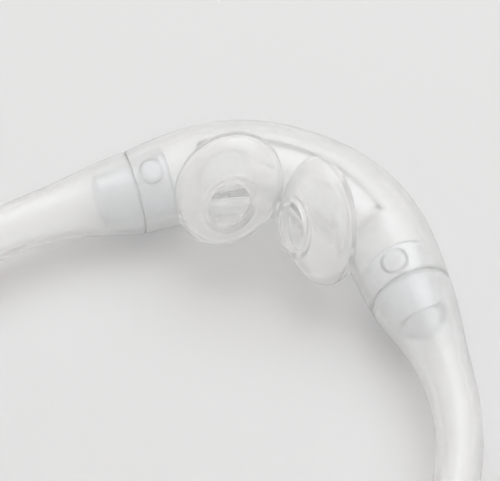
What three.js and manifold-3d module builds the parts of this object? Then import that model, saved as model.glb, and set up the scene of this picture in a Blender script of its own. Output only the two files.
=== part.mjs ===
// Nasal-pillow CPAP mask: a soft silicone cushion with two nasal pillows, whose ends
// plug onto a hollow silicone frame that loops over the head to a hose port at the crown.
// Millimetres. The mask lies on its outer side, pillows pointing into the loop. +Z is up,
// the loop is mirrored across X = 0, the cushion is at +Y and the crown port at -Y.
import * as THREE from "three";
import { mergeVertices } from "three/addons/utils/BufferGeometryUtils.js";
import Module from "manifold-3d";

const wasm = await Module();
wasm.setup();

const degrees = Math.PI / 180;
const seatGap = 0.3; // clearance between pieces that seat on each other

// Loop centreline, seen from above, from the middle of the cushion to the crown
const cushionBendRadius = 30.7;
const cushionBendAngle = 44.8 * degrees;
const connectorRun = 14; // straight stretch that the connector needs
const cheekBendRadius = 110;
const cheekBendAngle = 9 * degrees;
const templeBendRadius = 52;
const templeBendAngle = 24 * degrees;
const sideBendRadius = 420;
const sideLength = 102.6; // along the nearly straight side

// Tube sections: half width across the loop and half height, at stations along it
const cushionHalfWidth = 8.5;
const cushionHalfHeight = 9.7;
const shoulderAt = 15;
const seamAt = 33.5; // where the cushion ends and the frame begins
const seamHalfWidth = 7.7;
const seamHalfHeight = 8.5;
const cheekAt = 50;
const cheekHalfWidth = 4.9;
const cheekHalfHeight = 5.7;
const templeAt = 74;
const armHalfWidth = 4.0;
const armHalfHeight = 5.4;
const crownFlareLength = 42;
const crownHalfWidth = 6.4;
const crownHalfHeight = 7.6;
const armArchRise = 5; // how far the side arms arch off the table

const cushionWall = 1.6;
const frameWall = 1.3;

// Raised seat that carries both pillows, on the upper inner side of the cushion
const seatAngle = 125 * degrees; // round the section, from the outer side over the top
const seatOffset = 6.2;
const seatRadius = 6;
const seatReach = 22.5; // along the centreline, from the middle
const seatEndRound = 3.5;

// Nasal pillow, about its own axis. Radii are on the long axis of its oval.
const pillowCentre = new THREE.Vector3(9, -13.9, 18.2); // of its widest ring
const pillowTurnIn = 30 * degrees;
const pillowTilt = 21.5 * degrees;
const pillowRoll = 28 * degrees;
const pillowOval = 0.8; // short axis over long axis
const pillowRadius = 11.9;
const pillowHeight = 6.2; // from the widest ring to the tip
const pillowTipRadius = 5.9;
const pillowHoleRadius = 4.4;
const pillowWall = 1.15;
const pillowRim = 1.8; // how far the rim curls back
const neckRadius = 5.6;
const neckLength = 5.2; // from the widest ring back to the seat
const neckRoot = 4; // how far the neck runs into the seat

// Connector: a rigid oval sleeve inside both ends of a joint, with a snap button
const connectorIntoCushion = 6.7;
const connectorIntoFrame = 7;
const connectorWall = 1.2;
const buttonRadius = 2.1;
const buttonHeight = 0.75;
const buttonFromSeam = 3.4;
const buttonAngle = 108 * degrees;

// Crown port, a round socket for a hose elbow
const portBoreRadius = 10.5;
const portWall = 2;
const portReach = 15; // from the frame's centreline to the end face
const portBack = 8.5; // how far its rounded back runs into the loop
const portBead = 1;
const portBeadLength = 3.5;

// How finely the curved surfaces are faceted
const tubeSides = 18; // alike on every sleeve, so that their facets line up
const cushionStep = 4;
const cheekStep = 8;
const armStep = 16;
const seatSides = 14;
const seatEndRings = 3;
const pillowSides = 24;
const pillowCurveSteps = 3;
const tipCurveSteps = 2;
const buttonSides = 20;
const portSides = 24;
const portCurveSteps = 5;
const sharedPoint = 1e-4; // points nearer than this are one
const overrun = 4; // how far a cutting solid runs past the face it opens

function pointOnRun({ x, y, heading, radius }, distance) {
  if (!radius) {
    return {
      x: x + distance * Math.cos(heading),
      y: y - distance * Math.sin(heading),
      heading,
    };
  }
  const turned = heading + distance / radius;
  return {
    x: x + radius * (Math.sin(turned) - Math.sin(heading)),
    y: y - radius * (Math.cos(heading) - Math.cos(turned)),
    heading: turned,
  };
}

// The centreline as a chain of bends and a straight run, each starting where the last ends
function chainRuns() {
  const chain = [];
  let end = { x: 0, y: 0, heading: 0 };
  let at = 0;
  const add = ({ radius, angle, length = radius * angle }) => {
    chain.push({ ...end, radius, at });
    end = pointOnRun(chain.at(-1), length);
    at += length;
  };
  add({ radius: cushionBendRadius, angle: cushionBendAngle });
  add({ length: connectorRun });
  add({ radius: cheekBendRadius, angle: cheekBendAngle });
  add({ radius: templeBendRadius, angle: templeBendAngle });
  add({ radius: sideBendRadius, length: sideLength });
  // The crown bend closes the loop on the mirror plane
  add({ radius: end.x / Math.sin(end.heading), angle: Math.PI - end.heading });
  return { chain, crownAt: at };
}

const { chain, crownAt } = chainRuns();
const portRadius = portBoreRadius + portWall;
const crownHeight = portRadius + portBead; // the port's bead rests on the table

// Smooth curve through [station, value] pairs: a cubic with slopes from the neighbours
function smoothThrough(pairs, at) {
  const last = pairs.length - 1;
  const slope = (i) =>
    i === 0 || i === last
      ? 0
      : (pairs[i + 1][1] - pairs[i - 1][1]) /
        (pairs[i + 1][0] - pairs[i - 1][0]);
  const next = pairs.findIndex((pair) => pair[0] > at);
  if (next < 0) return pairs[last][1];
  const [from, low] = pairs[next - 1];
  const [to, high] = pairs[next];
  const span = to - from;
  const t = (at - from) / span;
  const rise = high - low;
  const startBend = slope(next - 1) * span - rise;
  const endBend = rise - slope(next) * span;
  return low + rise * t + t * (1 - t) * ((1 - t) * startBend + t * endBend);
}

// Distance from the cushion's middle along the nearer half of the loop
const halfStation = (at) => {
  const along = Math.abs(at);
  return along > crownAt ? 2 * crownAt - along : along;
};

const halfWidth = (at) =>
  smoothThrough(
    [
      [0, cushionHalfWidth],
      [shoulderAt, cushionHalfWidth],
      [seamAt, seamHalfWidth],
      [cheekAt, cheekHalfWidth],
      [templeAt, armHalfWidth],
      [crownAt - crownFlareLength, armHalfWidth],
      [crownAt, crownHalfWidth],
    ],
    halfStation(at),
  );

const halfHeight = (at) =>
  smoothThrough(
    [
      [0, cushionHalfHeight],
      [shoulderAt, cushionHalfHeight],
      [seamAt, seamHalfHeight],
      [cheekAt, cheekHalfHeight],
      [templeAt, armHalfHeight],
      [crownAt - crownFlareLength, armHalfHeight],
      [crownAt, crownHalfHeight],
    ],
    halfStation(at),
  );

// The cushion lies on the table; the arms rise from it to the height of the port
function centreHeight(at) {
  const along = halfStation(at);
  if (along <= seamAt) return halfHeight(along);
  const t = (along - seamAt) / (crownAt - seamAt);
  return (
    seamHalfHeight +
    (crownHeight - seamHalfHeight) * t +
    armArchRise * Math.sin(Math.PI * t)
  );
}

// Place on the loop at a signed distance: negative is the left half, past the crown too
function placeAt(at) {
  const along = halfStation(at);
  const run = chain.findLast((r) => r.at <= along);
  const { x, y, heading } = pointOnRun(run, along - run.at);
  const side = at < 0 || at > crownAt ? -1 : 1;
  const turn = at > crownAt ? 2 * Math.PI - heading : side * heading;
  return {
    centre: new THREE.Vector3(side * x, y, centreHeight(at)),
    outward: new THREE.Vector3(Math.sin(turn), Math.cos(turn), 0),
  };
}

const up = new THREE.Vector3(0, 0, 1);

// An oval ring of points round the loop's centreline, shrunk by inset and moved off centre
function ovalRing(at, sides, { wide, high, shift = 0, angle = 0 }) {
  const { centre, outward } = placeAt(at);
  return Array.from({ length: sides }, (_, k) => {
    const phi = (2 * Math.PI * k) / sides;
    return centre
      .clone()
      .addScaledVector(outward, wide * Math.cos(phi) + shift * Math.cos(angle))
      .addScaledVector(up, high * Math.sin(phi) + shift * Math.sin(angle));
  });
}

const tubeRing = (inset) => (at) =>
  ovalRing(at, tubeSides, {
    wide: halfWidth(at) - inset,
    high: halfHeight(at) - inset,
  });

// A closed solid through rings of points, with a fan over each end
function loft(rings) {
  const sides = rings[0].length;
  const middle = (ring) =>
    ring
      .reduce((sum, p) => sum.add(p), new THREE.Vector3())
      .divideScalar(sides);
  const points = [...rings.flat(), middle(rings[0]), middle(rings.at(-1))];
  const index = [];
  const startCentre = points.length - 2;
  const endCentre = points.length - 1;
  const endRing = (rings.length - 1) * sides;
  for (let k = 0; k < sides; k += 1) {
    const next = (k + 1) % sides;
    for (let i = 0; i < rings.length - 1; i += 1) {
      const near = i * sides;
      const far = near + sides;
      index.push(near + k, near + next, far + next);
      index.push(near + k, far + next, far + k);
    }
    index.push(startCentre, next, k);
    index.push(endCentre, endRing + k, endRing + next);
  }
  return solid(
    new THREE.BufferGeometry().setFromPoints(points).setIndex(index),
  );
}

const stations = (from, to, step) => {
  const count = Math.ceil((to - from) / step);
  return Array.from(
    { length: count + 1 },
    (_, i) => from + ((to - from) * i) / count,
  );
};

// A three.js geometry as a solid that can be joined and cut
function solid(geometry, matrix = new THREE.Matrix4()) {
  const bare = geometry.clone().applyMatrix4(matrix);
  bare.deleteAttribute("normal");
  bare.deleteAttribute("uv");
  const merged = mergeVertices(bare, sharedPoint);
  const triVerts = new Uint32Array(merged.index.array);
  if (matrix.determinant() < 0) {
    for (let i = 0; i < triVerts.length; i += 3) {
      [triVerts[i], triVerts[i + 1]] = [triVerts[i + 1], triVerts[i]];
    }
  }
  return new wasm.Manifold(
    new wasm.Mesh({
      numProp: 3,
      vertProperties: merged.attributes.position.array,
      triVerts,
    }),
  );
}

const joined = (solids) => solids.reduce((sum, next) => sum.add(next));

// Where a pillow stands: its axis is local Y, its oval's long axis local Z
function pillowMatrix(side) {
  const axis = new THREE.Vector3(
    -Math.sin(pillowTurnIn) * Math.cos(pillowTilt),
    -Math.cos(pillowTurnIn) * Math.cos(pillowTilt),
    Math.sin(pillowTilt),
  );
  const long = up.clone().addScaledVector(axis, -up.dot(axis)).normalize();
  long.applyAxisAngle(axis, pillowRoll);
  const short = new THREE.Vector3().crossVectors(axis, long);
  return new THREE.Matrix4()
    .makeScale(side, 1, 1)
    .multiply(new THREE.Matrix4().makeTranslation(pillowCentre))
    .multiply(new THREE.Matrix4().makeBasis(short, axis, long))
    .multiply(new THREE.Matrix4().makeScale(pillowOval, 1, 1));
}

// Half outline of a pillow, from its root to its tip. Inset gives the hollow inside it.
function pillowOutline(inset) {
  const neck = neckRadius - inset;
  const rim = pillowRadius - inset;
  const back = -pillowRim + inset;
  const outline = new THREE.Path();
  outline.moveTo(neck, -neckLength - neckRoot);
  outline.lineTo(neck, -neckLength);
  outline.bezierCurveTo(
    neck,
    (back - neckLength) / 2,
    (neck + rim) / 2,
    back,
    rim - pillowRim + inset,
    back,
  );
  outline.quadraticCurveTo(rim, back, rim, 0);
  outline.quadraticCurveTo(
    rim,
    pillowRim,
    rim - pillowRim,
    pillowHeight / 2 - inset / 2,
  );
  outline.lineTo(pillowTipRadius - inset / 2, pillowHeight - inset);
  return outline.getPoints(pillowCurveSteps);
}

const turned = (outline, sides, matrix) =>
  solid(new THREE.LatheGeometry(outline, sides), matrix);

function pillowOuter(side) {
  const rootDepth = -neckLength - neckRoot;
  const tip = new THREE.Path();
  tip.moveTo(pillowTipRadius, pillowHeight);
  tip.quadraticCurveTo(
    (pillowTipRadius + pillowHoleRadius) / 2,
    pillowHeight + pillowWall / 2,
    pillowHoleRadius - seatGap,
    pillowHeight + pillowWall / 4,
  );
  return turned(
    [
      new THREE.Vector2(0, rootDepth),
      ...pillowOutline(0),
      ...tip.getPoints(tipCurveSteps).slice(1),
      new THREE.Vector2(0, pillowHeight),
    ],
    pillowSides,
    pillowMatrix(side),
  );
}

function pillowHollow(side) {
  const rootDepth = -neckLength - neckRoot;
  return turned(
    [
      new THREE.Vector2(0, rootDepth),
      ...pillowOutline(pillowWall),
      new THREE.Vector2(pillowHoleRadius, pillowHeight - pillowWall / 3),
      new THREE.Vector2(pillowHoleRadius, pillowHeight + overrun),
      new THREE.Vector2(0, pillowHeight + overrun),
    ],
    pillowSides,
    pillowMatrix(side),
  );
}

// The seat is a sausage beside the centreline, with blunt round ends
function pillowSeat(inset) {
  const radius = seatRadius - inset;
  const straight = seatReach - seatEndRound;
  const endRound = seatEndRound - inset;
  const end = Array.from({ length: seatEndRings }, (_, i) => {
    const turn = ((i + 1) * Math.PI) / (2 * seatEndRings + 1);
    return [straight + endRound * Math.sin(turn), radius * Math.cos(turn)];
  });
  const along = stations(-straight, straight, cushionStep).map((at) => [at, radius]);
  const start = end.map(([at, size]) => [-at, size]).reverse();
  return loft(
    [...start, ...along, ...end].map(([at, size]) =>
      ovalRing(at, seatSides, {
        wide: size,
        high: size,
        shift: seatOffset,
        angle: seatAngle,
      }),
    ),
  );
}

// A short round peg on a connector, standing out of the section at buttonAngle
function buttonPeg(side, radius, rootInset, top) {
  const at = seamAt - buttonFromSeam;
  const { centre, outward } = placeAt(side * at);
  const wide = halfWidth(at) - cushionWall - seatGap;
  const high = halfHeight(at) - cushionWall - seatGap;
  const seat = centre
    .clone()
    .addScaledVector(outward, wide * Math.cos(buttonAngle))
    .addScaledVector(up, high * Math.sin(buttonAngle));
  const direction = outward
    .clone()
    .multiplyScalar(Math.cos(buttonAngle) / wide)
    .addScaledVector(up, Math.sin(buttonAngle) / high)
    .normalize();
  const turn = new THREE.Quaternion().setFromUnitVectors(
    new THREE.Vector3(0, 1, 0),
    direction,
  );
  const length = rootInset + top;
  const middle = seat.addScaledVector(direction, (top - rootInset) / 2);
  return solid(
    new THREE.CylinderGeometry(radius, radius, length, buttonSides),
    new THREE.Matrix4().compose(middle, turn, new THREE.Vector3(1, 1, 1)),
  );
}

function cushionSolid() {
  const ends = stations(-seamAt, seamAt, cushionStep);
  const bore = [-seamAt - overrun, ...ends, seamAt + overrun];
  const sides = [-1, 1];
  const outer = joined([
    loft(ends.map(tubeRing(0))),
    pillowSeat(0),
    ...sides.map(pillowOuter),
  ]);
  const hollow = joined([
    loft(bore.map(tubeRing(cushionWall))),
    pillowSeat(cushionWall),
    ...sides.map(pillowHollow),
    ...sides.map((side) =>
      buttonPeg(
        side,
        buttonRadius + seatGap,
        connectorWall,
        buttonHeight + seatGap,
      ),
    ),
  ]);
  return outer.subtract(hollow);
}

function connectorSolid(side) {
  const from = seamAt - connectorIntoCushion;
  const to = seamAt + connectorIntoFrame;
  const wall = Math.max(cushionWall, frameWall);
  const run = (start, end, inset) => {
    const along = stations(start, end, cushionStep).map((at) => side * at);
    if (side < 0) along.reverse();
    return loft(along.map(tubeRing(inset)));
  };
  return run(from, to, wall + seatGap)
    .add(buttonPeg(side, buttonRadius, connectorWall / 2, buttonHeight))
    .subtract(run(from - overrun, to + overrun, wall + seatGap + connectorWall));
}

// Half outline of the crown port about its axis, from its rounded back to its end face
function portOutline(inset) {
  const radius = portRadius - inset;
  const back = new THREE.Path();
  back.moveTo(0, -portBack + inset);
  back.bezierCurveTo(
    radius / 2,
    -portBack + inset,
    radius,
    -portBack / 2,
    radius,
    portWall,
  );
  return back.getPoints(portCurveSteps);
}

function frameSolid() {
  const right = [
    ...stations(seamAt + seatGap, templeAt, cheekStep),
    ...stations(templeAt, crownAt, armStep).slice(1),
  ];
  const left = right.slice(0, -1).map((at) => 2 * crownAt - at);
  const along = [...right, ...left.reverse()];
  const bore = [along[0] - overrun, ...along, along.at(-1) + overrun];
  const crown = placeAt(crownAt).centre;
  // Local Y of the port runs outward from the loop, towards -Y
  const portMatrix = new THREE.Matrix4()
    .makeTranslation(crown)
    .multiply(new THREE.Matrix4().makeRotationX(Math.PI));
  const bead = portRadius + portBead;
  const beadRound = portBead / 2;
  const port = turned(
    [
      ...portOutline(0),
      new THREE.Vector2(portRadius, portReach - portBeadLength),
      new THREE.Vector2(bead, portReach - portBeadLength + portBead),
      new THREE.Vector2(bead, portReach - beadRound),
      new THREE.Vector2(bead - beadRound, portReach),
      new THREE.Vector2(0, portReach),
    ],
    portSides,
    portMatrix,
  );
  const portHollow = turned(
    [
      ...portOutline(portWall),
      new THREE.Vector2(portBoreRadius, portReach + overrun),
      new THREE.Vector2(0, portReach + overrun),
    ],
    portSides,
    portMatrix,
  );
  return loft(along.map(tubeRing(0)))
    .add(port)
    .subtract(loft(bore.map(tubeRing(frameWall))))
    .subtract(portHollow);
}

const silicone = {
  color: 0xe9eae8,
  roughness: 0.42,
  metalness: 0,
  transparent: true,
  opacity: 0.8,
};
const clearPlastic = {
  color: 0xdfe4e6,
  roughness: 0.15,
  metalness: 0,
  transparent: true,
  opacity: 0.6,
};

function named(name, body, finish) {
  const made = body.getMesh();
  const geometry = new THREE.BufferGeometry()
    .setAttribute(
      "position",
      new THREE.BufferAttribute(made.vertProperties, made.numProp),
    )
    .setIndex(new THREE.BufferAttribute(made.triVerts, 1));
  geometry.computeVertexNormals();
  const mesh = new THREE.Mesh(geometry, new THREE.MeshStandardMaterial(finish));
  mesh.name = name;
  return mesh;
}

const mask = new THREE.Group();
mask.add(
  named("pillow_cushion", cushionSolid(), silicone),
  named("left_connector", connectorSolid(-1), clearPlastic),
  named("right_connector", connectorSolid(1), clearPlastic),
  named("frame_tube", frameSolid(), silicone),
);

// The origin is on the table, under the middle of the mask
const extent = new THREE.Box3().setFromObject(mask);
const middle = extent.getCenter(new THREE.Vector3());
mask.position.set(-middle.x, -middle.y, -extent.min.z);

export default mask;
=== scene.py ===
import bpy
import numpy as np
from mathutils import Matrix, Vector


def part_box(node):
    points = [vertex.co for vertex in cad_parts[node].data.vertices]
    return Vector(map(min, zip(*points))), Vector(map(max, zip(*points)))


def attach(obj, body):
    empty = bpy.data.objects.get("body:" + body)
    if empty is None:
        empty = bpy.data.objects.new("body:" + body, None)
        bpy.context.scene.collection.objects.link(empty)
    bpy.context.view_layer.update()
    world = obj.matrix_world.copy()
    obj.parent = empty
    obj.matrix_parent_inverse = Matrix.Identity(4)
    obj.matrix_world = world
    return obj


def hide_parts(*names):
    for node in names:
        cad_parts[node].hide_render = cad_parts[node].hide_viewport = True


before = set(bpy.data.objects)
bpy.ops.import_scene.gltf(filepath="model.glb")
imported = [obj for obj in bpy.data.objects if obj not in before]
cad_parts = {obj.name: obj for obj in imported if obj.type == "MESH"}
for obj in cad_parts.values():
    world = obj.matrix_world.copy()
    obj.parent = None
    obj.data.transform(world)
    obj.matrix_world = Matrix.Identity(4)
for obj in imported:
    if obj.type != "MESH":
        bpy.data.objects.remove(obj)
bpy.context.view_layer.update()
mm = 0.001

# The loop's centreline seen from above, from the cushion's middle to the crown. It is a chain
# of bends, each with its radius in mm and its angle in degrees, one straight run, and the
# nearly straight side with its radius and its length.
loop = {
    "cushionBend": (30.7, 44.8),
    "connectorRun": 14.0,
    "cheekBend": (110.0, 9.0),
    "templeBend": (52.0, 24.0),
    "sideRadius": 420.0,
    "sideLength": 102.6,
}

# Oval sections of the tube: half width and half height in mm at distances along the loop
tube = {
    "cushionHalfWidth": 8.5,
    "cushionHalfHeight": 9.7,
    "shoulderAt": 15.0,
    "seamAt": 33.5,
    "seamHalfWidth": 7.7,
    "seamHalfHeight": 8.5,
    "cheekAt": 50.0,
    "cheekHalfWidth": 4.9,
    "cheekHalfHeight": 5.7,
    "templeAt": 74.0,
    "armHalfWidth": 4.0,
    "armHalfHeight": 5.4,
    "crownFlareLength": 42.0,
    "crownHalfWidth": 6.4,
    "crownHalfHeight": 7.6,
    "armArchRise": 5.0,
    "seamGap": 0.3,
    "faceGap": 0.08,
}


# Each bend or straight run starts where the last one ends, with the same heading
def chainRuns():
    side = (loop["sideRadius"], np.degrees(loop["sideLength"] / loop["sideRadius"]))
    bends = [loop["cushionBend"], None, loop["cheekBend"], loop["templeBend"], side]
    x = y = heading = at = 0.0
    chain = []
    for bend in bends:
        if bend is None:
            length = loop["connectorRun"]
            chain.append(dict(x=x, y=y, heading=heading, radius=None, at=at, length=length))
            x += length * np.cos(heading)
            y -= length * np.sin(heading)
        else:
            radius, angle = bend[0], np.radians(bend[1])
            length = radius * angle
            chain.append(dict(x=x, y=y, heading=heading, radius=radius, at=at, length=length))
            x += radius * (np.sin(heading + angle) - np.sin(heading))
            y -= radius * (np.cos(heading) - np.cos(heading + angle))
            heading += angle
        at += length
    # The crown bend closes the loop on the mirror plane
    radius = x / np.sin(heading)
    length = radius * (np.pi - heading)
    chain.append(dict(x=x, y=y, heading=heading, radius=radius, at=at, length=length))
    crownY = y - radius * (np.cos(heading) + 1)
    return chain, at + length, crownY


chain, crownAt, crownY = chainRuns()


# Points at a distance along the loop, outward of its centreline and above the table: a bend's
# centre plus its radius and the outward distance, along the normal there. Negative distances
# are the left half, and so are those past the crown.
def placeOnLoop(grid):
    along, outward = grid[:, 0], grid[:, 1]
    side = np.where((along < 0) | (along > crownAt), -1, 1)
    at = np.abs(along)
    at = np.where(at > crownAt, 2 * crownAt - at, at)
    x, y = np.zeros(len(at)), np.zeros(len(at))
    for run in chain:
        here = (at >= run["at"] - 1e-9) if run["at"] else np.ones(len(at), bool)
        t = at - run["at"]
        turned = run["heading"] + (t / run["radius"] if run["radius"] else 0 * t)
        nx, ny = np.sin(turned), np.cos(turned)
        if run["radius"]:
            px = run["x"] + run["radius"] * (nx - np.sin(run["heading"]))
            py = run["y"] - run["radius"] * (np.cos(run["heading"]) - ny)
        else:
            px, py = run["x"] + t * ny, run["y"] - t * nx
        x = np.where(here, px + outward * nx, x)
        y = np.where(here, py + outward * ny, y)
    return np.stack([side * x, y, grid[:, 2]], 1), at


# A cubic through each pair of neighbours, with slopes from the pairs on either side
def smoothThrough(pairs, at):
    x, v = np.array(pairs).T
    slope = np.zeros(len(x))
    slope[1:-1] = (v[2:] - v[:-2]) / (x[2:] - x[:-2])
    i = np.clip(np.searchsorted(x, at, side="right") - 1, 0, len(x) - 2)
    span = x[i + 1] - x[i]
    t = np.clip((at - x[i]) / span, 0, 1)
    rise = v[i + 1] - v[i]
    startBend = slope[i] * span - rise
    endBend = rise - slope[i + 1] * span
    return v[i] + rise * t + t * (1 - t) * ((1 - t) * startBend + t * endBend)


# Half the tube's width or height at distances along the loop, smooth through its sections
def halfSize(at, kind):
    return smoothThrough(
        [
            (0, tube["cushionHalf" + kind]),
            (tube["shoulderAt"], tube["cushionHalf" + kind]),
            (tube["seamAt"], tube["seamHalf" + kind]),
            (tube["cheekAt"], tube["cheekHalf" + kind]),
            (tube["templeAt"], tube["armHalf" + kind]),
            (crownAt - tube["crownFlareLength"], tube["armHalf" + kind]),
            (crownAt, tube["crownHalf" + kind]),
        ],
        at,
    )


# The port about its own axis. Its bore is cut on past its face, and it is worked out only within
# its field's reach of the crown.
port = {
    "boreRadius": 10.5,
    "wall": 2.0,
    "reach": 15.0,
    "back": 8.5,
    "bead": 1.0,
    "beadLength": 3.5,
    "beadStep": 0.2,
    "boreEnd": 30.0,
    "fieldReach": 25.0,
}
crownHeight = port["boreRadius"] + port["wall"] + port["bead"]


# The cushion lies on the table, and the arms rise from it in a low arch to the port: a straight
# line between both heights plus half a sine wave
def centreHeight(at):
    t = np.clip((at - tube["seamAt"]) / (crownAt - tube["seamAt"]), 0, 1)
    low = tube["seamHalfHeight"]
    arm = low + (crownHeight - low) * t + tube["armArchRise"] * np.sin(np.pi * t)
    return np.where(at <= tube["seamAt"], halfSize(at, "Height"), arm)


# Fields: negative inside a solid, positive outside, about a millimetre a unit


# An oval section carried along the loop, pulled in all round by the inset
def ovalField(at, outward, z, inset):
    wide, high = halfSize(at, "Width") - inset, halfSize(at, "Height") - inset
    dz = z - centreHeight(at)
    ring = np.sqrt((outward / wide) ** 2 + (dz / high) ** 2)
    steep = np.sqrt((outward / wide**2) ** 2 + (dz / high**2) ** 2)
    return ring * (ring - 1) / (steep + 1e-6)


# Union of two fields with a fillet of about the soft radius
def merge(a, b, soft):
    h = np.clip(0.5 + 0.5 * (b - a) / soft, 0, 1)
    return b + (a - b) * h - soft * h * (1 - h)


# What of the first field lies outside the second, with its edge rounded
def cut(a, b, soft):
    return -merge(-a, b, soft)


# A Bezier curve on two or more control points, as an array of points
def curve(*points, steps=8):
    t = np.linspace(0, 1, steps)[:, None]
    level = [np.array(p, float) + 0 * t for p in points]
    while len(level) > 1:
        level = [a * (1 - t) + b * t for a, b in zip(level, level[1:])]
    return level[0]


# Distance to a closed outline round an axis, negative inside it
def outlineField(outline, radius, along):
    gap = np.full(len(radius), np.inf)
    inside = np.zeros(len(radius), bool)
    for (ax, ay), (bx, by) in zip(outline, np.roll(outline, -1, axis=0)):
        ex, ey = bx - ax, by - ay
        t = np.clip(((radius - ax) * ex + (along - ay) * ey) / (ex * ex + ey * ey + 1e-12), 0, 1)
        if ax > 0 or bx > 0:
            gap = np.minimum(gap, np.hypot(radius - ax - t * ex, along - ay - t * ey))
        crosses = (ay > along) != (by > along)
        inside ^= crosses & (radius < ax + (along - ay) * ex / (ey if ey else 1e-12))
    return np.where(inside, -gap, gap)


# How a skin settles: the step in mm that slopes are measured over, the least squared slope, the
# longest move as a share of a cell, the first moves, and the rounds of evening out and moving
skin = {
    "step": 0.04,
    "leastSlope": 0.2,
    "longestMove": 0.6,
    "firstMoves": 2,
    "rounds": 2,
    "evening": 0.5,
}


# Moves points down the slope of a field onto the skin where it is zero: each by the field over
# its squared slope, along the slope
def newtonSteps(field, points, cell, count):
    step = skin["step"]
    longest = skin["longestMove"] * cell
    for _ in range(count):
        here = field(points)
        slope = np.stack(
            [(field(points + step * e) - field(points - step * e)) / (2 * step) for e in np.eye(3)],
            1,
        )
        steep = np.maximum((slope**2).sum(1), skin["leastSlope"])
        move = here[:, None] * slope / steep[:, None]
        reach = np.linalg.norm(move, axis=1, keepdims=True)
        points = points - move * np.minimum(1, longest / np.maximum(reach, 1e-9))
    return points


# Moves each point part of the way to the middle of its neighbours
def relax(points, quads, share):
    a = quads.ravel()
    b = np.roll(quads, -1, axis=1).ravel()
    count = np.bincount(a, minlength=len(points)) + np.bincount(b, minlength=len(points))
    middle = np.stack(
        [
            np.bincount(a, points[b, k], len(points)) + np.bincount(b, points[a, k], len(points))
            for k in range(3)
        ],
        1,
    )
    return points + share * (middle / count[:, None] - points)


# The skin where a field is zero, on a grid that follows the loop. Each cell that the skin
# crosses gets one point, the mean of the crossings on its edges, and each grid edge that it
# crosses gets a quad round it. The points are then evened out and brought onto the skin.
def surfaceNet(field, low, high, cell):
    axes = [np.arange(a, b + cell, cell) for a, b in zip(low, high)]
    size = [len(a) for a in axes]
    grid = np.stack(np.meshgrid(*axes, indexing="ij"), -1).reshape(-1, 3)
    value = field(grid).reshape(size)
    cells = [n - 1 for n in size]
    total, count = np.zeros((np.prod(cells), 3)), np.zeros(np.prod(cells))
    quads = []
    for axis in range(3):
        a = np.take(value, np.arange(size[axis] - 1), axis)
        b = np.take(value, np.arange(1, size[axis]), axis)
        where = np.argwhere((a < 0) != (b < 0))
        a, b = a[tuple(where.T)], b[tuple(where.T)]
        crossing = where.astype(float)
        crossing[:, axis] += a / (a - b)
        u, v = (axis + 1) % 3, (axis + 2) % 3
        corners = []
        for du, dv in ((-1, -1), (0, -1), (0, 0), (-1, 0)):
            at = where.copy()
            at[:, u] += du
            at[:, v] += dv
            flat = np.ravel_multi_index(tuple(at.T), cells)
            corners.append(flat)
            for k in range(3):
                total[:, k] += np.bincount(flat, crossing[:, k], len(count))
            count += np.bincount(flat, minlength=len(count))
        quad = np.stack(corners, 1)
        quads.append(np.where((a < 0)[:, None], quad, quad[:, ::-1]))
    used = count > 0
    number = np.cumsum(used) - 1
    quads = number[np.concatenate(quads)]
    points = np.array([a[0] for a in axes]) + cell * total[used] / count[used, None]
    points = newtonSteps(field, points, cell, skin["firstMoves"])
    for _ in range(skin["rounds"]):
        points = newtonSteps(field, relax(points, quads, skin["evening"]), cell, 1)
    return placeOnLoop(points)[0], quads


# The loop's own frame has its zero at the cushion's middle; the part's is under the box's middle
loopShift = np.array([0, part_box("pillow_cushion")[1][1] / mm - tube["cushionHalfWidth"], 0])


# Puts a skin into a mesh, in metres in the part's frame, in place of its CAD node
def addPiece(name, points, quads, material, node):
    mesh = bpy.data.meshes.new(name)
    mesh.vertices.add(len(points))
    mesh.vertices.foreach_set("co", ((points + loopShift) * mm).ravel())
    mesh.loops.add(quads.size)
    mesh.loops.foreach_set("vertex_index", quads.ravel())
    mesh.polygons.add(len(quads))
    mesh.polygons.foreach_set("loop_start", np.arange(0, quads.size, 4))
    mesh.polygons.foreach_set("use_smooth", np.ones(len(quads), bool))
    mesh.update(calc_edges=True)
    mesh.validate()
    mesh.materials.append(material)
    piece = bpy.data.objects.new(name, mesh)
    bpy.context.scene.collection.objects.link(piece)
    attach(piece, "root")
    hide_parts(node)
    print(name, len(points), "points", 2 * len(quads), "triangles")


# The camera, fitted to the photograph: distances in mm from the cushion's middle
cameraPlace = {
    "aim": (-3.45, -16.82, 9.0),
    "azimuth": 28.4,
    "elevation": 53.0,
    "roll": -2.85,
    "distance": 378.1,
    "lens": 147.4,
    "sensor": 36,
}


# The way back from the aim comes from azimuth and elevation. The camera's right and up are the
# level direction and the one above it, both turned by the roll.
def makeCamera():
    azimuth, elevation, roll = np.radians(
        [cameraPlace["azimuth"], cameraPlace["elevation"], cameraPlace["roll"]]
    )
    back = np.array(
        [
            np.sin(azimuth) * np.cos(elevation),
            -np.cos(azimuth) * np.cos(elevation),
            np.sin(elevation),
        ]
    )
    level = np.array([np.cos(azimuth), np.sin(azimuth), 0])
    above = np.cross(back, level)
    right = level * np.cos(roll) + above * np.sin(roll)
    up = above * np.cos(roll) - level * np.sin(roll)
    place = (np.array(cameraPlace["aim"]) + back * cameraPlace["distance"] + loopShift) * mm
    data = bpy.data.cameras.new("camera")
    data.lens = cameraPlace["lens"]
    data.sensor_width = cameraPlace["sensor"]
    camera = bpy.data.objects.new("camera", data)
    turned = np.eye(4)
    turned[:3, :4] = np.stack([right, up, back, place], 1)
    camera.matrix_world = Matrix(turned.tolist())
    bpy.context.scene.collection.objects.link(camera)
    bpy.context.scene.camera = camera


makeCamera()
print("camera placed")


# Materials


cast = {"cloudDetail": 3, "grainDetail": 2, "speckRadius": 0.05}


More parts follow.
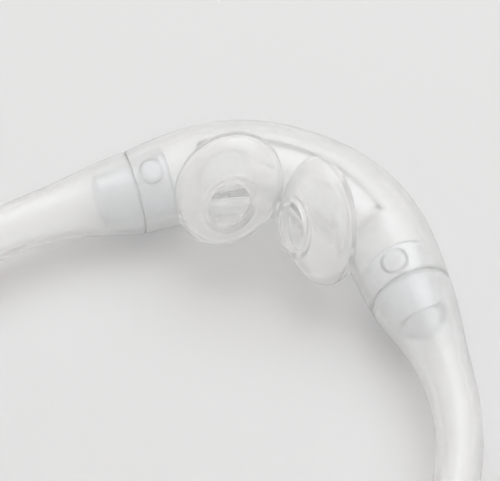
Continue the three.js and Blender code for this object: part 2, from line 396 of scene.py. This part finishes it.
# Moulded silicone's own unevenness: slow clouds in its haze, a fine satin grain and a few tiny
# dust specks. Clouds and specks are values from 0 to 1.
def makeCastGroup():
    group = bpy.data.node_groups.new("castSurface", "ShaderNodeTree")
    for name, kind, default in (
        ("Place", "NodeSocketVector", (0, 0, 0)),
        ("Cloud Size", "NodeSocketFloat", 90.0),
        ("Grain Size", "NodeSocketFloat", 2600.0),
        ("Speck Size", "NodeSocketFloat", 420.0),
        ("Speck Share", "NodeSocketFloat", 0.08),
    ):
        socket = group.interface.new_socket(name, in_out="INPUT", socket_type=kind)
        socket.default_value = default
    for name in ("Cloud", "Speck", "Height"):
        group.interface.new_socket(name, in_out="OUTPUT", socket_type="NodeSocketFloat")
    nodes, links = group.nodes, group.links
    source, target = nodes.new("NodeGroupInput"), nodes.new("NodeGroupOutput")

    cloud = nodes.new("ShaderNodeTexNoise")
    cloud.inputs["Detail"].default_value = cast["cloudDetail"]
    links.new(source.outputs["Place"], cloud.inputs["Vector"])
    links.new(source.outputs["Cloud Size"], cloud.inputs["Scale"])
    links.new(cloud.outputs["Fac"], target.inputs["Cloud"])

    # A speck is the small middle of a cell, in only some of the cells
    speck = nodes.new("ShaderNodeTexVoronoi")
    links.new(source.outputs["Place"], speck.inputs["Vector"])
    links.new(source.outputs["Speck Size"], speck.inputs["Scale"])
    near = nodes.new("ShaderNodeMath")
    near.operation = "LESS_THAN"
    near.inputs[1].default_value = cast["speckRadius"]
    links.new(speck.outputs["Distance"], near.inputs[0])
    pick = nodes.new("ShaderNodeSeparateColor")
    links.new(speck.outputs["Color"], pick.inputs["Color"])
    rare = nodes.new("ShaderNodeMath")
    rare.operation = "LESS_THAN"
    links.new(pick.outputs["Red"], rare.inputs[0])
    links.new(source.outputs["Speck Share"], rare.inputs[1])
    both = nodes.new("ShaderNodeMath")
    both.operation = "MULTIPLY"
    links.new(near.outputs[0], both.inputs[0])
    links.new(rare.outputs[0], both.inputs[1])
    links.new(both.outputs[0], target.inputs["Speck"])

    grain = nodes.new("ShaderNodeTexNoise")
    grain.inputs["Detail"].default_value = cast["grainDetail"]
    links.new(source.outputs["Place"], grain.inputs["Vector"])
    links.new(source.outputs["Grain Size"], grain.inputs["Scale"])
    links.new(grain.outputs["Fac"], target.inputs["Height"])
    return group


castGroup = makeCastGroup()


# Colour swings between two tones with the clouds, specks darken it, and roughness follows the
# clouds a little
def castMaterial(name, look):
    material = bpy.data.materials.new(name)
    material.use_nodes = True
    nodes, links = material.node_tree.nodes, material.node_tree.links
    shader = nodes["Principled BSDF"]
    place = nodes.new("ShaderNodeTexCoord")
    surface = nodes.new("ShaderNodeGroup")
    surface.node_tree = castGroup
    links.new(place.outputs["Object"], surface.inputs["Place"])
    surface.inputs["Cloud Size"].default_value = look["cloudSize"]
    surface.inputs["Grain Size"].default_value = look["grainSize"]
    surface.inputs["Speck Share"].default_value = look["speckShare"]

    tone = nodes.new("ShaderNodeMix")
    tone.data_type = "RGBA"
    tone.inputs["A"].default_value = (*look["milky"], 1)
    tone.inputs["B"].default_value = (*look["clear"], 1)
    links.new(surface.outputs["Cloud"], tone.inputs["Factor"])
    dusty = nodes.new("ShaderNodeMix")
    dusty.data_type = "RGBA"
    dusty.inputs["B"].default_value = (*look["speck"], 1)
    links.new(surface.outputs["Speck"], dusty.inputs["Factor"])
    links.new(tone.outputs["Result"], dusty.inputs["A"])
    links.new(dusty.outputs["Result"], shader.inputs["Base Color"])

    rough = nodes.new("ShaderNodeMapRange")
    rough.inputs["To Min"].default_value = look["roughness"][0]
    rough.inputs["To Max"].default_value = look["roughness"][1]
    links.new(surface.outputs["Cloud"], rough.inputs["Value"])
    links.new(rough.outputs["Result"], shader.inputs["Roughness"])

    bump = nodes.new("ShaderNodeBump")
    bump.inputs["Strength"].default_value = look["grainDepth"]
    bump.inputs["Distance"].default_value = look["grainHeight"] * mm
    links.new(surface.outputs["Height"], bump.inputs["Height"])
    links.new(bump.outputs["Normal"], shader.inputs["Normal"])

    shader.inputs["Transmission Weight"].default_value = look["transmission"]
    shader.inputs["IOR"].default_value = look["bending"]
    shader.inputs["Specular IOR Level"].default_value = look["shine"]
    return material


siliconeLook = {
    "milky": (0.985, 0.988, 0.986),
    "clear": (1.0, 1.0, 1.0),
    "speck": (0.2, 0.19, 0.18),
    "roughness": (0.22, 0.29),
    "transmission": 0.83,
    "bending": 1.41,
    "shine": 0.5,
    "cloudSize": 90.0,
    "grainSize": 2600.0,
    "grainDepth": 0.15,
    "grainHeight": 0.05,
    "speckShare": 0.03,
}
connectorLook = {
    "milky": (0.9, 0.917, 0.93),
    "clear": (0.925, 0.937, 0.945),
    "speck": (0.3, 0.33, 0.36),
    "roughness": (0.1, 0.18),
    "transmission": 0.9,
    "bending": 1.5,
    "shine": 0.5,
    "cloudSize": 120.0,
    "grainSize": 3200.0,
    "grainDepth": 0.05,
    "grainHeight": 0.05,
    "speckShare": 0.0,
}
cushionSilicone = castMaterial("cushionSilicone", siliconeLook)
frameSilicone = castMaterial("frameSilicone", {**siliconeLook, "cloudSize": 60.0})
connectorPlastic = castMaterial("connectorPlastic", connectorLook)
print("materials made")


# The seat that carries both pillows, a sausage beside the cushion's centreline
seat = {
    "angle": 125.0,
    "offset": 6.2,
    "radius": 6.0,
    "reach": 22.5,
    "endRound": 2.8,
    "fillet": 0.8,
}


# Distance to the sausage's own centreline, less its radius. Past its straight stretch the
# distance counts for more, which makes the ends blunt.
def seatField(at, outward, z, inset):
    angle = np.radians(seat["angle"])
    dx = outward - seat["offset"] * np.cos(angle)
    dz = z - centreHeight(at) - seat["offset"] * np.sin(angle)
    radius = seat["radius"] - inset
    blunt = radius / (seat["endRound"] - inset)
    past = np.maximum(at - (seat["reach"] - seat["endRound"]), 0) * blunt
    middle = np.hypot(dx, dz)
    reach = np.hypot(middle, past)
    steep = np.hypot(middle, past * blunt) / np.maximum(reach, 1e-6)
    return (reach - radius) / np.maximum(steep, 1)


# A pillow about its own axis, in mm. Radii are on the long axis of its oval. The lip's middle
# lies below the tip by its sink, the hole is cut to its depth, and the pillow is worked out
# only within its reach.
pillow = {
    "centre": (9.0, -13.9, 18.2),
    "turnIn": 30.0,
    "tilt": 21.5,
    "roll": 28.0,
    "oval": 0.8,
    "radius": 11.9,
    "height": 6.2,
    "tipRadius": 5.9,
    "holeRadius": 4.4,
    "wall": 1.15,
    "rim": 1.8,
    "neckRadius": 5.6,
    "neckLength": 5.2,
    "neckRoot": 4.0,
    "lipRadius": 0.85,
    "lipSink": 0.4,
    "lipFillet": 0.8,
    "holeDepth": 2.5,
    "holeEdge": 0.3,
    "fillet": 0.8,
    "reach": 18.0,
}


# A pillow's axis and the long and short axes of its oval, with the flex added to its angles
def pillowAxes(flex):
    turn, tilt, roll = np.radians([pillow["turnIn"], pillow["tilt"], pillow["roll"]] + flex)
    axis = np.array([-np.sin(turn) * np.cos(tilt), -np.cos(turn) * np.cos(tilt), np.sin(tilt)])
    level = np.array([0, 0, 1]) - axis * axis[2]
    level /= np.linalg.norm(level)
    beside = np.cross(axis, level)
    long = level * np.cos(roll) + beside * np.sin(roll)
    return axis, long, np.cross(axis, long)


# The right pillow has sagged a little on its soft neck: a shift in mm and angles in degrees
sag = {"shift": (0.2, 1.4, -1.5), "turn": (6.0, -2.2, 4.0)}
pillowPlaces = {
    -1: (np.array(pillow["centre"]), pillowAxes(np.zeros(3))),
    1: (np.array(pillow["centre"]) + sag["shift"], pillowAxes(np.array(sag["turn"]))),
}


# Up the neck, out under the skirt, round its rim and up the dome to the tip
def pillowOutline(inset):
    p = pillow
    neck, rim, back = p["neckRadius"] - inset, p["radius"] - inset, inset - p["rim"]
    turn = rim - p["rim"] + inset
    root = -p["neckLength"] - p["neckRoot"]
    top = p["height"] - inset
    return np.concatenate(
        [
            [(0, root), (neck, root)],
            curve(
                (neck, -p["neckLength"]),
                (neck, (back - p["neckLength"]) / 2),
                ((neck + rim) / 2, back),
                (turn, back),
            ),
            curve((turn, back), (rim, back), (rim, 0))[1:],
            curve((rim, 0), (rim, p["rim"]), (rim - p["rim"], top / 2))[1:],
            [(p["tipRadius"] - inset / 2, top), (0, top)],
        ]
    )


# The solid and the hollow of one pillow. The solid has a rounded lip round its hole.
def pillowFields(points, side):
    p = pillow
    centre, axes = pillowPlaces[side]
    along, long, short = ((points * (side, 1, 1) - centre) @ axis for axis in axes)
    radius = np.hypot(short / p["oval"], long)
    lip = np.hypot(radius - p["holeRadius"] - p["lipRadius"], along - p["height"] + p["lipSink"])
    solid = merge(outlineField(pillowOutline(0), radius, along), lip - p["lipRadius"], p["lipFillet"])
    hole = np.maximum(radius - p["holeRadius"], p["height"] - p["holeDepth"] - along)
    hollow = merge(outlineField(pillowOutline(p["wall"]), radius, along), hole, p["holeEdge"])
    return solid, hollow


# The cover is the silicone left above a snap button, and the grid reaches its depth into the loop
cushion = {
    "wall": 1.6,
    "cover": 0.8,
    "endRound": 0.4,
    "edgeRound": 0.5,
    "gridDepth": 24.0,
    "cell": 0.45,
}


# The snap button's place on the section, and the way it points, right side
def buttonPlace():
    b = button
    at = tube["seamAt"] - b["fromSeam"]
    run = [r for r in chain if r["at"] <= at][-1]
    heading, t = run["heading"], at - run["at"]
    if run["radius"]:
        turned = heading + t / run["radius"]
        x = run["x"] + run["radius"] * (np.sin(turned) - np.sin(heading))
        y = run["y"] - run["radius"] * (np.cos(heading) - np.cos(turned))
        heading = turned
    else:
        x, y = run["x"] + t * np.cos(heading), run["y"] - t * np.sin(heading)
    outward = np.array([np.sin(heading), np.cos(heading), 0])
    angle = np.radians(b["angle"])
    inset = cushion["wall"] + tube["seamGap"]
    wide, high = halfSize(at, "Width") - inset, halfSize(at, "Height") - inset
    up = np.array([0, 0, 1])
    centre = np.array([x, y, float(centreHeight(at))])
    foot = centre + outward * wide * np.cos(angle) + up * high * np.sin(angle)
    way = outward * np.cos(angle) / wide + up * np.sin(angle) / high
    return foot, way / np.linalg.norm(way)


button = {
    "radius": 2.1,
    "height": 0.75,
    "root": 0.6,
    "fromSeam": 3.4,
    "angle": 108.0,
    "clearance": 0.12,
    "edge": 0.4,
}
buttonFoot, buttonWay = buttonPlace()


# A short round peg with a soft edge, on both sides of the mirror plane
def buttonField(points, grow):
    local = np.abs(points * (1, 0, 0)) + points * (0, 1, 1) - buttonFoot
    along = local @ buttonWay
    radius = np.linalg.norm(local - along[:, None] * buttonWay, axis=1)
    middle, half = (button["height"] - button["root"]) / 2, (button["height"] + button["root"]) / 2
    ends = half + grow - np.abs(along - middle)
    return cut(radius - button["radius"] - grow, ends, button["edge"])


# Tube, seat and pillows joined by fillets, less the same shapes pulled in by the wall. The
# two pillows have no fillet between them.
def cushionField(grid):
    points, at = placeOnLoop(grid)
    outward, z = grid[:, 1], grid[:, 2]
    wall = cushion["wall"]
    solid = merge(ovalField(at, outward, z, 0), seatField(at, outward, z, 0), seat["fillet"])
    hollow = merge(
        ovalField(at, outward, z, wall), seatField(at, outward, z, wall), seat["fillet"]
    )
    tubeSolid, tubeHollow = solid.copy(), hollow.copy()
    for side in (-1, 1):
        away = np.linalg.norm(points * (side, 1, 1) - np.array(pillow["centre"]), axis=1)
        near = away < pillow["reach"]
        bulge, void = pillowFields(points[near], side)
        filleted = merge(tubeSolid[near], bulge, pillow["fillet"])
        solid[near] = np.minimum(solid[near], filleted)
        filleted = merge(tubeHollow[near], void, pillow["fillet"])
        hollow[near] = np.minimum(hollow[near], filleted)
    # The pocket of the snap button leaves part of the wall above it
    cover = ovalField(at, outward, z, cushion["cover"])
    pocket = np.maximum(buttonField(points, button["clearance"]), cover)
    hollow = np.minimum(hollow, pocket)
    shell = cut(solid, hollow, cushion["edgeRound"])
    return cut(shell, tube["seamAt"] - at, cushion["endRound"])


# The cushion's skin, on a grid from seam to seam
def makeCushion():
    cell = cushion["cell"]
    end = tube["seamAt"] + 1.5 * cell
    deep = tube["cushionHalfWidth"] + cell
    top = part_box("pillow_cushion")[1][2] / mm + 2 * cell
    low, high = (-end, -cushion["gridDepth"], -cell), (end, deep, top)
    points, quads = surfaceNet(cushionField, low, high, cell)
    addPiece("cushionSkin", points, quads, cushionSilicone, "pillow_cushion")


makeCushion()
print("cushion made")


frameTube = {
    "wall": 1.3,
    "endRound": 0.45,
    "edgeRound": 0.4,
    "fillet": 2.0,
    "innerFillet": 0.8,
    "cell": 0.7,
}


# The port's rounded back, as a half outline about its axis
def portOutline(inset):
    radius = port["boreRadius"] + port["wall"] - inset
    back = -port["back"] + inset
    return curve((0, back), (radius / 2, back), (radius, back / 2), (radius, port["wall"]))


# The solid and the hollow of the port, each an outline turned about the port's axis
def portFields(points):
    p = port
    radius = np.hypot(points[:, 0], points[:, 2] - crownHeight)
    along = crownY - points[:, 1]
    barrel = p["boreRadius"] + p["wall"]
    lip = barrel + p["bead"]
    soft = p["bead"] / 2
    solid = outlineField(
        np.concatenate(
            [
                portOutline(0),
                [(barrel, p["reach"] - p["beadLength"])],
                curve(
                    (barrel + p["beadStep"], p["reach"] - p["beadLength"]),
                    (lip, p["reach"] - p["beadLength"]),
                    (lip, p["reach"] - p["beadLength"] + p["bead"]),
                ),
                [(lip, p["reach"] - soft), (lip - soft, p["reach"]), (0, p["reach"])],
            ]
        ),
        radius,
        along,
    )
    hollow = outlineField(
        np.concatenate([portOutline(p["wall"]), [(p["boreRadius"], p["boreEnd"]), (0, p["boreEnd"])]]),
        radius,
        along,
    )
    return solid, hollow


# The tube from the seams round to the crown, and the port, less both their bores
def frameField(grid):
    points, at = placeOnLoop(grid)
    outward, z = grid[:, 1], grid[:, 2]
    solid, hollow = ovalField(at, outward, z, 0), ovalField(at, outward, z, frameTube["wall"])
    near = points[:, 1] < crownY + port["fieldReach"]
    bulge, void = portFields(points[near])
    solid[near] = merge(solid[near], bulge, frameTube["fillet"])
    hollow[near] = merge(hollow[near], void, frameTube["innerFillet"])
    shell = cut(solid, hollow, frameTube["edgeRound"])
    return cut(shell, at - tube["seamAt"] - tube["faceGap"], frameTube["endRound"])


# The frame's skin, on a grid from the right seam round the crown to the left seam
def makeFrame():
    cell = frameTube["cell"]
    start = tube["seamAt"] - 1.5 * cell
    outermost = port["reach"] + 2 * cell
    innermost = -port["boreRadius"] - 2 * cell
    top = 2 * crownHeight + 2 * cell
    low, high = (start, innermost, -2 * cell), (2 * crownAt - start, outermost, top)
    points, quads = surfaceNet(frameField, low, high, cell)
    addPiece("frameSkin", points, quads, frameSilicone, "frame_tube")


makeFrame()
print("frame made")


connector = {"intoCushion": 6.7, "intoFrame": 7.0, "wall": 1.2, "round": 0.5, "cell": 0.4}


# A sleeve between two ovals, cut off square to the loop, with its snap button
def connectorField(grid):
    points, at = placeOnLoop(grid)
    outward, z = grid[:, 1], grid[:, 2]
    inset = cushion["wall"] + tube["seamGap"]
    c = connector
    under = ovalField(at, outward, z, cushion["cover"] + button["clearance"])
    peg = np.maximum(buttonField(points, 0), under)
    outer = np.minimum(ovalField(at, outward, z, inset), peg)
    sleeve = cut(outer, ovalField(at, outward, z, inset + c["wall"]), c["round"])
    middle = tube["seamAt"] + (c["intoFrame"] - c["intoCushion"]) / 2
    half = (c["intoFrame"] + c["intoCushion"]) / 2
    return cut(sleeve, half - np.abs(at - middle), c["round"])


# The skins of both sleeves, each on its own grid round a seam
def makeConnectors():
    cell = connector["cell"]
    near = tube["seamAt"] - connector["intoCushion"] - 1.5 * cell
    far = tube["seamAt"] + connector["intoFrame"] + 1.5 * cell
    wide, top = tube["cushionHalfWidth"], 2 * tube["cushionHalfHeight"]
    for name, node, start, end in (
        ("leftSleeve", "left_connector", -far, -near),
        ("rightSleeve", "right_connector", near, far),
    ):
        points, quads = surfaceNet(connectorField, (start, -wide, 0), (end, wide, top), cell)
        addPiece(name, points, quads, connectorPlastic, node)


makeConnectors()
print("connectors made")


table = {"size": 3.0, "tone": (0.67, 0.668, 0.669), "roughness": 0.6}


# A flat square that the mask lies on
def makeTable():
    half = table["size"] / 2
    mesh = bpy.data.meshes.new("tableTop")
    mesh.from_pydata(
        [(-half, -half, 0), (half, -half, 0), (half, half, 0), (-half, half, 0)], [], [(0, 1, 2, 3)]
    )
    material = bpy.data.materials.new("tableTop")
    material.use_nodes = True
    shader = material.node_tree.nodes["Principled BSDF"]
    shader.inputs["Base Color"].default_value = (*table["tone"], 1)
    shader.inputs["Roughness"].default_value = table["roughness"]
    mesh.materials.append(material)
    top = bpy.data.objects.new("tableTop", mesh)
    bpy.context.scene.collection.objects.link(top)


makeTable()

# Studio light: an even pale surround, a large soft light above and behind the mask, and a weak
# one low in front of it, which lights the faces of the pillows
studio = {
    "surround": (1.0, 0.966, 0.935),
    "surroundStrength": 0.73,
    "softboxes": {
        "keyLight": {
            "place": (0.0, 0.45, 0.85),
            "aim": (0, 0.1, 0),
            "size": 0.9,
            "watts": 5.5,
            "tint": (0.92, 0.96, 1.0),
        },
        "fillLight": {
            "place": (-0.2, -0.6, 0.35),
            "aim": (0, 0.09, 0.01),
            "size": 0.6,
            "watts": 0.3,
            "tint": (1.0, 1.0, 1.0),
        },
    },
}


# A square light whose back points away from its aim. It shows in no reflection.
def makeSoftbox(name, box):
    data = bpy.data.lights.new(name, "AREA")
    data.shape = "SQUARE"
    data.size = box["size"]
    data.energy = box["watts"]
    data.color = box["tint"]
    light = bpy.data.objects.new(name, data)
    back = np.array(box["place"]) - box["aim"]
    back /= np.linalg.norm(back)
    side = np.cross([0, 0, 1], back)
    side /= np.linalg.norm(side)
    turned = np.eye(4)
    turned[:3, :4] = np.stack([side, np.cross(back, side), back, box["place"]], 1)
    light.matrix_world = Matrix(turned.tolist())
    light.visible_glossy = False
    bpy.context.scene.collection.objects.link(light)


# The even light of the surround, and the softboxes
def makeLights():
    world = bpy.data.worlds.new("studio")
    bpy.context.scene.world = world
    world.use_nodes = True
    background = world.node_tree.nodes["Background"]
    background.inputs["Color"].default_value = (*studio["surround"], 1)
    background.inputs["Strength"].default_value = studio["surroundStrength"]
    for name, box in studio["softboxes"].items():
        makeSoftbox(name, box)


# Light passes through many thin walls here, so its paths are long and no highlight is filtered
lightPaths = {"throughWalls": 40, "offSurfaces": 10, "filter": 0}


def setLightPaths():
    cycles = bpy.context.scene.cycles
    cycles.max_bounces = lightPaths["throughWalls"]
    cycles.transmission_bounces = lightPaths["throughWalls"]
    cycles.diffuse_bounces = lightPaths["offSurfaces"]
    cycles.glossy_bounces = lightPaths["offSurfaces"]
    cycles.blur_glossy = lightPaths["filter"]


makeLights()
setLightPaths()
bpy.context.scene.view_settings.view_transform = "Standard"
print("light set")
